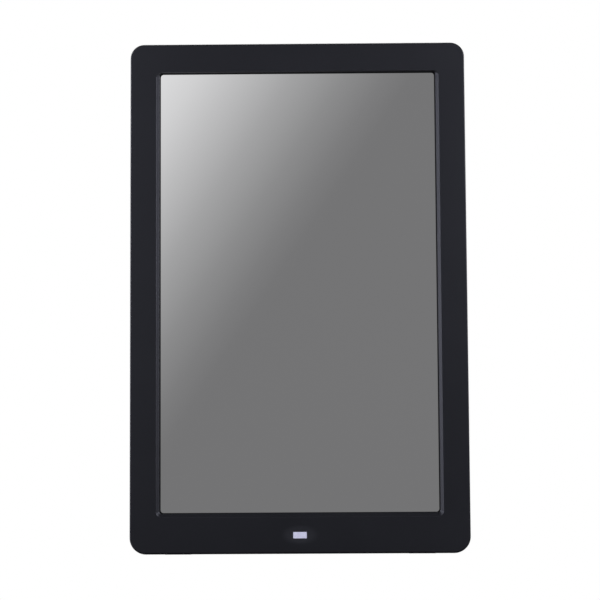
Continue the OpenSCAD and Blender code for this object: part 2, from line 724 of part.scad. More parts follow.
// Turns the folded leg out to its open position about the hinge pin
module opened() translate([0, hinge_y, hinge_z]) rotate([leg_open, 0, 0]) translate([0, -hinge_y, -hinge_z]) children();

// The world below the floor, seen from the upright frame
module below_floor() translate([-100, -200, -100]) cube([200, 500, 100]);

leg_end = hinge_z - leg_reach + foot_len;      // where the foot starts on the folded leg
leg_spread = (leg_w - leg_neck_w) / (hinge_z - leg_end);

module leg_blank(z0, z1, grow) slab(leg_front - grow, leg_front + leg_t + grow) polygon([
    for (s = [1, -1]) for (z = s > 0 ? [z0, z1] : [z1, z0])
        [s * (leg_neck_w / 2 + (hinge_z - z) * leg_spread / 2 + grow), z]]);

// Recess in the leg's back, crossed by ribs
module leg_recess() difference() {
    slab(leg_front + 2, leg_front + leg_t + 1) polygon([
        [-9, hinge_z - 15], [9, hinge_z - 15], [17, leg_end + 10], [-17, leg_end + 10]]);
    for (i = [1 : rib_n]) {
        z = leg_end + 10 + i * (hinge_z - 25 - leg_end) / (rib_n + 1);
        block([-20, leg_front, z - rib_w / 2], [20, leg_front + leg_t - 0.6, z + rib_w / 2]);
    }
}

module stand_leg() color("#202023") place() opened() difference() {
    union() {
        leg_blank(leg_end, hinge_z, 0);
        translate([-barrel_w / 2, hinge_y, hinge_z]) rotate([0, 90, 0]) cylinder(h = barrel_w, r = hinge_r);
        block([-barrel_w / 2, hinge_y - heel_back, hinge_z], [barrel_w / 2, hinge_y + 1, hinge_z + heel_rise]);
    }
    translate([-30, hinge_y, hinge_z]) rotate([0, 90, 0]) cylinder(h = 60, r = pin_r + 0.06);
    leg_recess();
}

module leg_foot() color("#141414") difference() {
    place() opened() leg_blank(leg_end - foot_len - 6, leg_end, 0.3);
    below_floor();
}

front_bezel();
ir_window();
polariser_film();
lcd_glass();
lcd_frame();
diffuser_films();
light_guide();
reflector_sheet();
led_bar();
lcd_tray();
panel_driver_board();
panel_brackets();
panel_screws();
ir_board();
ir_receiver();
indicator_led();
ir_board_screws();
main_board();
board_chips();
capacitors();
usb_port();
mini_usb_port();
card_slot();
headphone_jack();
dc_jack();
cell_holder();
clock_cell();
board_screws();
key_board();
key_switches();
key_board_screws();
key_power();
key_menu();
key_back();
key_up();
key_down();
key_left();
key_right();
key_enter();
speaker_baskets();
speaker_cones();
speaker_magnets();
speaker_leads();
key_lead();
ir_lead();
lcd_cable();
rear_cover();
case_screws();
rating_label();
base_feet();
side_feet();
turntable();
friction_washer();
clamp_ring();
clamp_screws();
hinge_pin();
hinge_washers();
stand_leg();
leg_foot();
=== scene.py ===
"""Looks of the digital photo frame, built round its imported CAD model.

Pieces are drawn with the frame upright, in millimetres: x across, y from the front face to the back,
z up from the bottom edge. PLACE leans them back with the CAD model and turns them into metres.
"""
import json
import math

import bmesh
import bpy
from mathutils import Matrix, Vector


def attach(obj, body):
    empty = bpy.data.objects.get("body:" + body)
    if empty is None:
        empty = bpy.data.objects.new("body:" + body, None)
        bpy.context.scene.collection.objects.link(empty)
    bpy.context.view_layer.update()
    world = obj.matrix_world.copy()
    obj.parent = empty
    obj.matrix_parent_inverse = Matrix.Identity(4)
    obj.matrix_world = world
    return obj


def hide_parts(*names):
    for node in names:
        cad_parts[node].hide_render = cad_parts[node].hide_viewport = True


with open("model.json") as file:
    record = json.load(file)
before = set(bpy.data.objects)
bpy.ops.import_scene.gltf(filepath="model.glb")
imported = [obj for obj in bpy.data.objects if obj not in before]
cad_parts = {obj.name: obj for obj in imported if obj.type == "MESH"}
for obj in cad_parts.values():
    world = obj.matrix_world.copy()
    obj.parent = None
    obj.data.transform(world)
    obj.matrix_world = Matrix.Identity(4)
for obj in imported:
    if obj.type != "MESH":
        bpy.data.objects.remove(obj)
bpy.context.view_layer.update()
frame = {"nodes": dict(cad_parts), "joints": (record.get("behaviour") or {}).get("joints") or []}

# ---------------------------------------------------------------- sizes in millimetres
BODY_W, BODY_H, BEZEL_D = 199.9, 303.1, 12.0
TOP_R, BOTTOM_R, WALL, PLATE_T = 8.4, 9.7, 2.2, 2.4
EDGE_R = 1.35                # 0.05 more than the CAD model's, whose flat steps cut inside the true arc
OPEN_W, OPEN_Z, OPEN_H, OPEN_R, LIP_R = 165.4, 23.6, 262.0, 1.5, 3.2
LIP_SIDE, LIP_BOTTOM, LIP_TOP = 1.6, 2.0, 0.5
LIP_STEP = 1.1               # depth of the upright step between the slope and the screen
STEP_DRAFT = 0.35            # the step narrows the opening by this much at each side
SIDE_ROUND = 0.5             # the front edge is less rounded at the sides than at the top and bottom
ACTIVE_W, ACTIVE_Z, ACTIVE_H, ACTIVE_R = 163.8, 24.0, 261.05, 1.8   # picture inside the black border
FILM_Y = 2.6                 # the screen's front film
WINDOW_W, WINDOW_H, WINDOW_Z = 8.1, 3.9, 10.9
DISH_W, DISH_H, DISH_T = 19.5, 10.4, 0.2
DISH_Z = WINDOW_Z + 0.3      # the dish sits a little higher than the window in it
HUMP_Y, PIVOT_Z = 28.0, 100.0   # the raised back, and the height of the stand's pivot on it

joint = {j["name"]: j for j in frame["joints"]}
hub = Vector(joint["stand_swivel"]["pos_m"])
back = Vector(joint["stand_swivel"]["axis"]).normalized()
across = Vector((1, 0, 0))
up = across.cross(back)
MM = 0.001
PLACE = Matrix((
    (across.x * MM, back.x * MM, up.x * MM, hub.x - MM * (HUMP_Y * back.x + PIVOT_Z * up.x)),
    (across.y * MM, back.y * MM, up.y * MM, hub.y - MM * (HUMP_Y * back.y + PIVOT_Z * up.y)),
    (across.z * MM, back.z * MM, up.z * MM, hub.z - MM * (HUMP_Y * back.z + PIVOT_Z * up.z)),
    (0, 0, 0, 1)))

scene = bpy.context.scene
collection = scene.collection


# ---------------------------------------------------------------- materials
def new_material(name):
    mat = bpy.data.materials.new(name)
    mat.use_nodes = True
    tree = mat.node_tree
    return mat, tree, tree.nodes["Principled BSDF"]


def add(tree, kind, **values):
    """New node with its inputs or properties set."""
    node = tree.nodes.new(kind)
    for key, value in values.items():
        if key in node.inputs:
            node.inputs[key].default_value = value
        else:
            setattr(node, key, value)
    return node


def coords(tree):
    """Place on the piece, in metres."""
    return add(tree, "ShaderNodeTexCoord").outputs["Object"]


def ramp(tree, source, stops):
    node = add(tree, "ShaderNodeValToRGB")
    tree.links.new(source, node.inputs["Fac"])
    while len(node.color_ramp.elements) < len(stops):
        node.color_ramp.elements.new(1.0)
    for element, (at, colour) in zip(node.color_ramp.elements, stops):
        element.position = at
        element.color = (*colour, 1)
    return node.outputs["Color"]


def noise(tree, where, scale, detail=3.0, rough=0.5):
    """Cloudy value with about this many features in a metre."""
    node = add(tree, "ShaderNodeTexNoise", Scale=scale, Detail=detail, Roughness=rough)
    tree.links.new(where, node.inputs["Vector"])
    return node.outputs["Fac"]


def level(tree, source, low, high, span=(0.0, 1.0)):
    """The source's span mapped onto low to high."""
    node = add(tree, "ShaderNodeMapRange")
    node.inputs["From Min"].default_value, node.inputs["From Max"].default_value = span
    node.inputs["To Min"].default_value, node.inputs["To Max"].default_value = low, high
    tree.links.new(source, node.inputs["Value"])
    return node.outputs["Result"]


def bump(tree, shader, source, depth, strength=1.0):
    """Relief of this depth, in metres."""
    node = add(tree, "ShaderNodeBump", Strength=strength, Distance=depth)
    tree.links.new(source, node.inputs["Height"])
    tree.links.new(node.outputs["Normal"], shader.inputs["Normal"])


def moulded(name, colour, rough=0.5, grain=0.35, depth=0.012, vary=0.14, specular=0.5, sheen=(1, 1, 1)):
    """Moulded plastic: fine spark-eroded grain (mm), faint cloudy colour and roughness change."""
    mat, tree, shader = new_material(name)
    where = coords(tree)
    cloud = noise(tree, where, 28.0, 4.0)
    dark, light = [tuple(c * (1 + k * vary) for c in colour) for k in (-1, 1)]
    tree.links.new(ramp(tree, cloud, [(0.3, dark), (0.7, light)]), shader.inputs["Base Color"])
    fine = noise(tree, where, 1 / (grain * MM), 2.0, 0.55)
    tree.links.new(level(tree, fine, rough - 0.05, rough + 0.07), shader.inputs["Roughness"])
    bump(tree, shader, fine, depth * MM, 0.6)
    shader.inputs["Specular IOR Level"].default_value = specular
    shader.inputs["Specular Tint"].default_value = (*sheen, 1)
    return mat


def metal(name, colour, rough=0.3, brush=0.0, scale=900.0, vary=0.1):
    """Metal sheet or turned part; brush stretches its fine scratches along x."""
    mat, tree, shader = new_material(name)
    where = coords(tree)
    if brush:
        mapping = add(tree, "ShaderNodeMapping")
        mapping.inputs["Scale"].default_value = (1 / brush, 1, 1)
        tree.links.new(where, mapping.inputs["Vector"])
        where = mapping.outputs["Vector"]
    fine = noise(tree, where, scale, 4.0, 0.6)
    dark, light = [tuple(min(1, c * (1 + k * vary)) for c in colour) for k in (-1, 1)]
    tree.links.new(ramp(tree, fine, [(0.3, dark), (0.7, light)]), shader.inputs["Base Color"])
    tree.links.new(level(tree, fine, rough - 0.06, rough + 0.1), shader.inputs["Roughness"])
    bump(tree, shader, fine, 0.01 * MM, 0.4)
    shader.inputs["Metallic"].default_value = 1.0
    return mat


def circuit(name, colour):
    """Solder mask with a fine network of tracks and pads under it."""
    mat, tree, shader = new_material(name)
    where = coords(tree)
    cells = add(tree, "ShaderNodeTexVoronoi", Scale=260.0, distance="CHEBYCHEV", feature="F1")
    tree.links.new(where, cells.inputs["Vector"])
    lines = add(tree, "ShaderNodeTexBrick", Scale=300.0)
    tree.links.new(where, lines.inputs["Vector"])
    mixed = add(tree, "ShaderNodeMath", operation="MULTIPLY")
    tree.links.new(cells.outputs["Distance"], mixed.inputs[0])
    tree.links.new(lines.outputs["Fac"], mixed.inputs[1])
    light = tuple(min(1, c * 2.2 + 0.01) for c in colour)
    tint = ramp(tree, mixed.outputs["Value"], [(0.02, colour), (0.3, light)])
    tree.links.new(tint, shader.inputs["Base Color"])
    bump(tree, shader, mixed.outputs["Value"], 0.03 * MM, 0.5)
    shader.inputs["Roughness"].default_value = 0.35
    return mat


def sheet_stock(name, colour, rough=0.5, scale=400.0, vary=0.04, clear=0.0):
    """Film, foil, paper or clear sheet."""
    mat, tree, shader = new_material(name)
    where = coords(tree)
    fine = noise(tree, where, scale, 3.0)
    dark, light = [tuple(min(1, c * (1 + k * vary)) for c in colour) for k in (-1, 1)]
    tree.links.new(ramp(tree, fine, [(0.3, dark), (0.7, light)]), shader.inputs["Base Color"])
    tree.links.new(level(tree, fine, rough - 0.04, rough + 0.06), shader.inputs["Roughness"])
    shader.inputs["Transmission Weight"].default_value = clear
    return mat


COOL_SHEEN = (0.82, 0.832, 1.0)   # tint of the case plastic's highlights
cover_mat = moulded("cover_black", (0.0125, 0.0127, 0.0150), rough=0.52, grain=0.70, depth=0.030,
                    sheen=COOL_SHEEN)
key_mat = moulded("key_black", (0.0240, 0.0240, 0.0270), rough=0.38, grain=0.25, depth=0.004)
rubber_mat = moulded("rubber_black", (0.0120, 0.0120, 0.0125), rough=0.82, grain=0.30, depth=0.020,
                     specular=0.3)
chip_mat = moulded("chip_black", (0.0160, 0.0160, 0.0180), rough=0.5, grain=0.20)
cone_mat = moulded("cone_paper", (0.0400, 0.0400, 0.0430), rough=0.8, grain=0.15, depth=0.03)
socket_mat = moulded("socket_black", (0.0180, 0.0180, 0.0190), rough=0.4, grain=0.30)
lead_red = moulded("lead_red", (0.36, 0.025, 0.020), rough=0.45, grain=0.5)
lead_grey = moulded("lead_grey", (0.45, 0.45, 0.46), rough=0.45, grain=0.5)
print_mat = sheet_stock("print_grey", (0.42, 0.42, 0.44), rough=0.5)
rule_mat = sheet_stock("print_dark", (0.06, 0.06, 0.065), rough=0.5)
steel_mat = metal("tray_steel", (0.50, 0.51, 0.52), rough=0.34, brush=12.0, scale=700.0)
screw_mat = metal("screw_black", (0.055, 0.055, 0.060), rough=0.38)
plated_mat = metal("plated", (0.66, 0.67, 0.69), rough=0.2)
magnet_mat = metal("magnet", (0.22, 0.22, 0.23), rough=0.35)
alu_mat = metal("aluminium", (0.62, 0.63, 0.65), rough=0.3)
board_mat = circuit("solder_mask", (0.010, 0.095, 0.035))
film_mat = sheet_stock("white_film", (0.82, 0.82, 0.81), rough=0.6)
clear_mat = sheet_stock("clear_acrylic", (0.86, 0.92, 0.91), rough=0.12, clear=0.85)
glass_mat = sheet_stock("cell_glass", (0.10, 0.10, 0.11), rough=0.08, clear=0.3)
flat_mat = sheet_stock("flat_cable", (0.66, 0.63, 0.55), rough=0.4, scale=900.0, vary=0.12)
label_mat = sheet_stock("label_paper", (0.52, 0.52, 0.50), rough=0.5, scale=700.0)
led_mat = sheet_stock("led_clear", (0.80, 0.78, 0.62), rough=0.25)


def bezel_material():
    """Satin black; painted light makes the base colour a little lighter round the infrared window."""
    mat = moulded("bezel_black", (0.0068, 0.0070, 0.0086), rough=0.42, grain=0.40, depth=0.010,
                  specular=0.56, sheen=COOL_SHEEN)
    tree, shader = mat.node_tree, mat.node_tree.nodes["Principled BSDF"]
    # 0 at the window, 1 on the ellipse of the dish's rim
    from_window = measured_from(tree, PLACE @ Vector((0, 0, DISH_Z)))
    flat = add(tree, "ShaderNodeCombineXYZ")
    tree.links.new(axis_part(tree, from_window, across / (DISH_W / 2 * MM)), flat.inputs["X"])
    tree.links.new(axis_part(tree, from_window, up / (DISH_H / 2 * MM)), flat.inputs["Y"])
    reach = add(tree, "ShaderNodeVectorMath", operation="LENGTH")
    tree.links.new(flat.outputs["Vector"], reach.inputs[0])
    # Painted light: the base colour is lighter inside the dish, fading out across its rim
    painted_light_mask = level(tree, reach.outputs["Value"], 1.0, 0.0, (0.75, 1.15))
    mix = add(tree, "ShaderNodeMix", data_type="RGBA")
    plain = shader.inputs["Base Color"].links[0].from_socket
    tree.links.new(painted_light_mask, mix.inputs["Factor"])
    tree.links.new(plain, mix.inputs["A"])
    mix.inputs["B"].default_value = (0.0165, 0.0170, 0.0205, 1)
    tree.links.new(mix.outputs["Result"], shader.inputs["Base Color"])
    return mat


def window_material():
    """Pale translucent plug with a painted glow: it emits its own colour in place of the indicator
    light behind it.
    """
    mat, tree, shader = new_material("window_pale_painted_glow")
    where = coords(tree)
    cloud = noise(tree, where, 500.0, 3.0)
    tint = ramp(tree, cloud, [(0.25, (0.42, 0.42, 0.545)), (0.75, (0.46, 0.46, 0.595))])
    tree.links.new(tint, shader.inputs["Base Color"])
    # Painted glow: the window emits its base colour, though it is no lamp
    tree.links.new(tint, shader.inputs["Emission Color"])
    shader.inputs["Emission Strength"].default_value = 0.53
    tree.links.new(level(tree, cloud, 0.30, 0.42), shader.inputs["Roughness"])
    shader.inputs["Subsurface Weight"].default_value = 0.2
    shader.inputs["Subsurface Radius"].default_value = (0.001, 0.001, 0.001)
    return mat


def screen_material():
    """Anti-glare film over a displayed grey picture, painted as a reflection of light from the top left
    corner, even elsewhere.
    """
    mat, tree, shader = new_material("screen_picture_painted_reflection")
    where = coords(tree)
    # Painted reflection: distance from the picture's top left corner along its slope, 0 to 1 over
    # fade_mm
    angle, fade_mm = math.radians(34), 132.0
    corner = PLACE @ Vector((-ACTIVE_W / 2, FILM_Y, ACTIVE_Z + ACTIVE_H))
    along = across * math.cos(angle) - up * math.sin(angle)
    # Painted reflection: emitted grey, lightest at the top left corner
    painted_reflection = ramp(tree, axis_part(tree, measured_from(tree, corner), along / (fade_mm * MM)), REFLECTION_FADE)
    middle = PLACE @ Vector((0, FILM_Y, ACTIVE_Z + ACTIVE_H / 2))
    inside = border_mask(tree, measured_from(tree, middle))
    mix = add(tree, "ShaderNodeMix", data_type="RGBA")
    tree.links.new(inside, mix.inputs["Factor"])
    mix.inputs["A"].default_value = (0.0015, 0.0015, 0.0018, 1)
    tree.links.new(painted_reflection, mix.inputs["B"])
    tree.links.new(mix.outputs["Result"], shader.inputs["Emission Color"])
    shader.inputs["Emission Strength"].default_value = 1.0
    fine = noise(tree, where, 1 / (0.25 * MM), 2.0)
    tree.links.new(level(tree, fine, 0.36, 0.44), shader.inputs["Roughness"])
    shader.inputs["Base Color"].default_value = (0.006, 0.006, 0.007, 1)
    shader.inputs["Specular IOR Level"].default_value = 0.25
    return mat


def measured_from(tree, point):
    """Vector from the point to the place being shaded."""
    node = add(tree, "ShaderNodeVectorMath", operation="SUBTRACT")
    node.inputs[1].default_value = point
    tree.links.new(coords(tree), node.inputs[0])
    return node.outputs["Vector"]


def axis_part(tree, vector, axis):
    """How far the vector reaches along the axis."""
    node = add(tree, "ShaderNodeVectorMath", operation="DOT_PRODUCT")
    node.inputs[1].default_value = axis
    tree.links.new(vector, node.inputs[0])
    return node.outputs["Value"]


def show(tree, to_camera, to_others):
    """Shader that the camera sees as one thing and every other ray as another."""
    ray = add(tree, "ShaderNodeLightPath")
    mix = add(tree, "ShaderNodeMixShader")
    tree.links.new(ray.outputs["Is Camera Ray"], mix.inputs["Fac"])
    tree.links.new(to_others, mix.inputs[1])
    tree.links.new(to_camera, mix.inputs[2])
    return mix.outputs["Shader"]


def border_mask(tree, from_centre):
    """1 on the rounded active area, 0 on the black border round it."""
    half = Vector((ACTIVE_W / 2 - ACTIVE_R, ACTIVE_H / 2 - ACTIVE_R, 0)) * MM
    flat = add(tree, "ShaderNodeCombineXYZ")
    tree.links.new(axis_part(tree, from_centre, across), flat.inputs["X"])
    tree.links.new(axis_part(tree, from_centre, up), flat.inputs["Y"])
    source = flat.outputs["Vector"]
    steps = (("ABSOLUTE", None), ("SUBTRACT", half), ("MAXIMUM", (0, 0, 0)), ("LENGTH", None))
    for operation, value in steps:
        node = add(tree, "ShaderNodeVectorMath", operation=operation)
        tree.links.new(source, node.inputs[0])
        if value is not None:
            node.inputs[1].default_value = value
        source = node.outputs["Value" if operation == "LENGTH" else "Vector"]
    inside = add(tree, "ShaderNodeMath", operation="LESS_THAN")
    inside.inputs[1].default_value = ACTIVE_R * MM
    tree.links.new(source, inside.inputs[0])
    return inside.outputs["Value"]


def grey(value):
    """Linear grey of a display level from 0 to 255."""
    v = value / 255
    return v / 12.92 if v <= 0.04045 else ((v + 0.055) / 1.055) ** 2.4


# The painted reflection's levels over its fade, eased at both ends
REFLECTION_FADE = [(at, (grey(v), grey(v), grey(v) * 1.01)) for at, v in (
    (0.00, 218), (0.14, 206.5), (0.30, 187), (0.50, 160.5),
    (0.70, 136.5), (0.85, 121), (0.95, 113.5), (1.00, 112.5))]


# ---------------------------------------------------------------- mesh helpers
def arc(cx, cz, r, start, n):
    """Quarter circle in n steps from the start angle."""
    return [(cx + r * math.cos(math.radians(start + 90 * i / n)),
             cz + r * math.sin(math.radians(start + 90 * i / n))) for i in range(n + 1)]


def outline(w, z0, z1, rt, rb, n=12):
    """Rounded rectangle, counter-clockwise seen from behind, as (x, z) points."""
    return (arc(w / 2 - rt, z1 - rt, rt, 0, n) + arc(rt - w / 2, z1 - rt, rt, 90, n)
            + arc(rb - w / 2, z0 + rb, rb, 180, n) + arc(w / 2 - rb, z0 + rb, rb, 270, n))


def ring(bm, points, y):
    return [bm.verts.new((x, y, z)) for x, z in points]


def join_rings(bm, rings):
    """Side faces from each ring of points to the next."""
    for a, b in zip(rings, rings[1:]):
        for i in range(len(a)):
            k = (i + 1) % len(a)
            bm.faces.new((a[i], a[k], b[k], b[i]))


def loft(sections, loop=False):
    """Closed solid through (points, y) sections that have the same number of points.

    With loop, the last section joins the first; otherwise flat faces close both ends.
    """
    bm = bmesh.new()
    rings = [ring(bm, points, y) for points, y in sections]
    join_rings(bm, rings + rings[:1] if loop else rings)
    if not loop:
        bm.faces.new(rings[0])
        bm.faces.new(rings[-1][::-1])
    bmesh.ops.recalc_face_normals(bm, faces=bm.faces)
    return bm


def circle(x, z, r, n=32):
    return [(x + r * math.cos(a), z + r * math.sin(a))
            for a in (2 * math.pi * i / n for i in range(n))]


def lathe(x, z, profile, n=32):
    """Round solid along y from a list of (y, radius)."""
    return loft([(circle(x, z, r, n), y) for y, r in profile])


def mesh_of(bm, name):
    mesh = bpy.data.meshes.new(name)
    bm.to_mesh(mesh)
    bm.free()
    return mesh


def merged(parts, name):
    """One mesh out of several bmeshes that don't touch."""
    whole = bmesh.new()
    for bm in parts:
        mesh = mesh_of(bm, "part")
        whole.from_mesh(mesh)
        bpy.data.meshes.remove(mesh)
    return mesh_of(whole, name)


def temporary(mesh):
    obj = bpy.data.objects.new("tool", mesh)
    collection.objects.link(obj)
    return obj


def cut(mesh, *tools):
    """The mesh with each tool mesh taken away."""
    body = temporary(mesh)
    helpers = []
    for tool in tools:
        helper = temporary(tool)
        helpers.append(helper)
        mod = body.modifiers.new("cut", "BOOLEAN")
        mod.operation, mod.solver, mod.object = "DIFFERENCE", "EXACT", helper
    graph = bpy.context.evaluated_depsgraph_get()
    result = bpy.data.meshes.new_from_object(body.evaluated_get(graph))
    for obj in (body, *helpers):
        bpy.data.objects.remove(obj)
    return result


def piece(name, mesh, body, nodes, mat, sharp=32):
    """Puts a finished mesh into the model, riding on its body and standing for its CAD nodes."""
    mesh.transform(PLACE)
    obj = bpy.data.objects.new(name, mesh)
    collection.objects.link(obj)
    mesh.materials.clear()
    mesh.materials.append(mat)
    mesh.shade_smooth()
    mesh.set_sharp_from_angle(angle=math.radians(sharp))
    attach(obj, body)
    if nodes:
        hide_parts(*nodes)
    return obj


def add_bevel(obj, width):
    mod = obj.modifiers.new("soft_edges", "BEVEL")
    mod.width, mod.segments = width * MM, 2
    mod.limit_method, mod.angle_limit = "ANGLE", math.radians(35)
    mod.use_clamp_overlap = True
    mod.harden_normals = False
    even_shading(obj)


def even_shading(obj):
    """Flat faces keep their own normal up to the soft edges beside them."""
    weighted = obj.modifiers.new("even_shading", "WEIGHTED_NORMAL")
    weighted.keep_sharp = True


# ---------------------------------------------------------------- front bezel
def inset_outline(d, n=12):
    """The body's outline d inside its top and bottom edges, and SIDE_ROUND times d inside its sides."""
    side = SIDE_ROUND * d
    return outline(BODY_W - 2 * side, d, BODY_H - d, TOP_R - side, BOTTOM_R - side, n)


def opening(grow_side, grow_bottom, grow_top, r, n=12):
    """Outline of the screen opening, grown by the given amounts."""
    return outline(OPEN_W + 2 * grow_side, OPEN_Z - grow_bottom, OPEN_Z + OPEN_H + grow_top, r, r, n)


def inside_walls(grow):
    """Outline of the inside of the bezel's walls."""
    return outline(BODY_W - 2 * WALL + 2 * grow, WALL - grow, BODY_H - WALL + grow,
                   TOP_R - WALL, BOTTOM_R - WALL)


def bezel_mesh():
    """Closed ring: back rim, side wall, rounded front edge, lip, step and the inside walls."""
    steps = 8
    rim = 0.35               # chamfer round the back rim
    sections = [(inset_outline(rim), BEZEL_D), (inset_outline(0), BEZEL_D - rim)]
    for i in range(steps + 1):
        a = math.pi / 2 * i / steps
        sections.append((inset_outline(EDGE_R * (1 - math.cos(a))), EDGE_R * (1 - math.sin(a))))
    fillet = 0.22            # softened edges of the lip
    slope_y = PLATE_T - LIP_STEP
    sections += [
        (opening(LIP_SIDE + fillet, LIP_BOTTOM + fillet, LIP_TOP + fillet, LIP_R + fillet), 0.0),
        (opening(LIP_SIDE, LIP_BOTTOM, LIP_TOP, LIP_R), 0.06),
        (opening(LIP_SIDE - fillet, LIP_BOTTOM - fillet, LIP_TOP - fillet * 0.6, LIP_R - fillet), 0.24),
        (opening(fillet, fillet, fillet, OPEN_R + fillet), slope_y - 0.12),
        (opening(0, 0, 0, OPEN_R), slope_y),
        (opening(-STEP_DRAFT, 0, 0, OPEN_R), PLATE_T),
        (inside_walls(0), PLATE_T),
        (inside_walls(0), BEZEL_D - rim),
        (inside_walls(rim / 2), BEZEL_D),
    ]
    return mesh_of(loft(sections, loop=True), "bezel")


def dish_tool():
    """Lens with a soft rim that cuts the shallow dish round the infrared window."""
    steps = 16
    sections = [(ellipse(1.02), -1.0)]
    for i in range(steps):
        k = 1 - i / steps
        sections.append((ellipse(k), DISH_T * (1 + math.cos(math.pi * k)) / 2 - 0.004))
    return mesh_of(loft(sections), "dish")


def ellipse(k, n=72):
    """The dish's rim, k times its size."""
    return [(DISH_W / 2 * k * math.cos(t), DISH_Z + DISH_H / 2 * k * math.sin(t))
            for t in (2 * math.pi * j / n for j in range(n))]


def window_outline(grow, r):
    """Outline of the infrared window, grown on all sides."""
    return outline(WINDOW_W + 2 * grow, WINDOW_Z - WINDOW_H / 2 - grow, WINDOW_Z + WINDOW_H / 2 + grow,
                   r, r, 4)


window_tool = mesh_of(loft([(window_outline(0, 0.35), y) for y in (-1.0, PLATE_T + 1)]), "window_tool")
bezel = cut(bezel_mesh(), dish_tool(), window_tool)
shell = piece("bezel_shell", bezel, "frame", ["front_bezel"], bezel_material(),
              sharp=28)
even_shading(shell)

# Infrared window: a plug with a faintly crowned face, and its flange behind the plate
PLAY, FLANGE, FLANGE_Y = 0.15, 1.5, PLATE_T + 0.1
face = [(window_outline(-PLAY - d, 0.3), y) for d, y in (
    (0.3, DISH_T - 0.05), (0.1, DISH_T), (0.0, DISH_T + 0.12), (0.0, FLANGE_Y))]
flange = [(window_outline(FLANGE, 0.5), y) for y in (FLANGE_Y, FLANGE_Y + 0.8)]
piece("window_plug", mesh_of(loft(face + flange), "window"), "frame", ["ir_window"],
      window_material())

# Screen: the film's CAD solid keeps its shape and shows the picture with its painted reflection
screen_mat = screen_material()

# ---------------------------------------------------------------- keys
def local_box(node):
    """(lowest, highest) corner of a CAD node in the upright frame, in millimetres."""
    obj = frame["nodes"][node]
    back_to_local = PLACE.inverted()
    points = [back_to_local @ v.co for v in obj.data.vertices]
    return [Vector([pick(p[i] for p in points) for i in range(3)]) for pick in (min, max)]


def prism(points, y0, y1):
    """Straight solid on a flat outline."""
    return loft([(points, y0), (points, y1)])


def bar(x, z, w, h):
    """Rectangle round a centre."""
    return [(x + i * w / 2, z + k * h / 2) for i, k in ((1, 1), (-1, 1), (-1, -1), (1, -1))]


def band(x, z, r, width, start, sweep, n=28):
    """Part of a flat ring, from the start angle on."""
    angles = [math.radians(start + sweep * i / n) for i in range(n + 1)]
    outer = [(x + (r + width / 2) * math.cos(a), z + (r + width / 2) * math.sin(a)) for a in angles]
    inner = [(x + (r - width / 2) * math.cos(a), z + (r - width / 2) * math.sin(a)) for a in angles]
    return outer + inner[::-1]


def triangle(x, z, r, heading):
    """Arrowhead round a centre, pointing along the heading."""
    return [(x + r * math.cos(math.radians(heading + a)), z + r * math.sin(math.radians(heading + a)))
            for a in (0, 120, 240)]


def key_marks(kind, x, z):
    """Flat shapes printed on one key; seen from behind, +x is to the left."""
    if kind in ("up", "down", "left", "right"):
        return [triangle(x, z, 1.5, {"up": 90, "down": 270, "left": 0, "right": 180}[kind])]
    if kind == "power":
        return [band(x, z, 1.35, 0.35, 120, 300), bar(x, z + 1.1, 0.35, 1.5)]
    if kind == "menu":
        return [bar(x, z + k, 2.4, 0.4) for k in (-0.9, 0, 0.9)]
    if kind == "back":
        return [triangle(x + 0.9, z, 0.95, 0), bar(x - 0.6, z, 1.7, 0.4)]
    return [bar(x - 0.55, z, 0.5, 2.2), bar(x + 0.55, z, 0.5, 2.2)]


KEY_FLANGE, KEY_FLANGE_T = 0.8, 1.2
# (depth below the top, distance inside the side) of a key cap's rounded rim and dished top
KEY_ROUND = ((0.55, 0), (0.3, 0.08), (0.12, 0.25), (0.03, 0.5),
             (0, 0.85), (0.04, 1.4), (0.10, 2.2), (0.13, 3.2))

for kind in ("power", "menu", "back", "up", "down", "left", "right", "enter"):
    node = "key_" + kind
    lo, hi = local_box(node)
    cx, cz = (lo.x + hi.x) / 2, (lo.z + hi.z) / 2
    r_flange = (hi.x - lo.x) / 2
    r, flange_y = r_flange - KEY_FLANGE, lo.y + KEY_FLANGE_T
    cap = lathe(cx, cz, [(lo.y, r_flange), (flange_y, r_flange), (flange_y, r)]
                + [(hi.y - depth, r - inset) for depth, inset in KEY_ROUND], 48)
    piece(node + "_cap", mesh_of(cap, node), node, [node], key_mat, sharp=40)
    marks = [prism(shape, hi.y - 0.2, hi.y - 0.01) for shape in key_marks(kind, cx, cz)]
    piece(node + "_mark", merged(marks, node + "_mark"), node, [], print_mat)

# ---------------------------------------------------------------- label
lo, hi = local_box("rating_label")
w, h = hi.x - lo.x, hi.z - lo.z
label = loft([(outline(w, lo.z, hi.z, 2, 2, 6), y) for y in (lo.y + 0.01, hi.y - 0.02)]
             + [(outline(w - 0.1, lo.z + 0.05, hi.z - 0.05, 1.95, 1.95, 6), hi.y)])
piece("label_sheet", mesh_of(label, "label"), "frame", ["rating_label"], label_mat)
rules = [bar(0, lo.z + h * k, w - 5, 0.3) for k in (0.1, 0.34, 0.58, 0.9)]
rules += [bar(x, lo.z + h * k, 0.3, t) for x, k, t in (
    (2.5 - w / 2, 0.5, h * 0.8), (w / 2 - 2.5, 0.5, h * 0.8), (-6.0, 0.34, h * 0.48))]
# Each rule stands 2 micrometres over the one before it, so that crossing rules share no face
rules = [prism(shape, hi.y - 0.05, hi.y + 0.01 + 0.002 * i) for i, shape in enumerate(rules)]
piece("label_rules", merged(rules, "label_rules"), "frame", [], rule_mat)

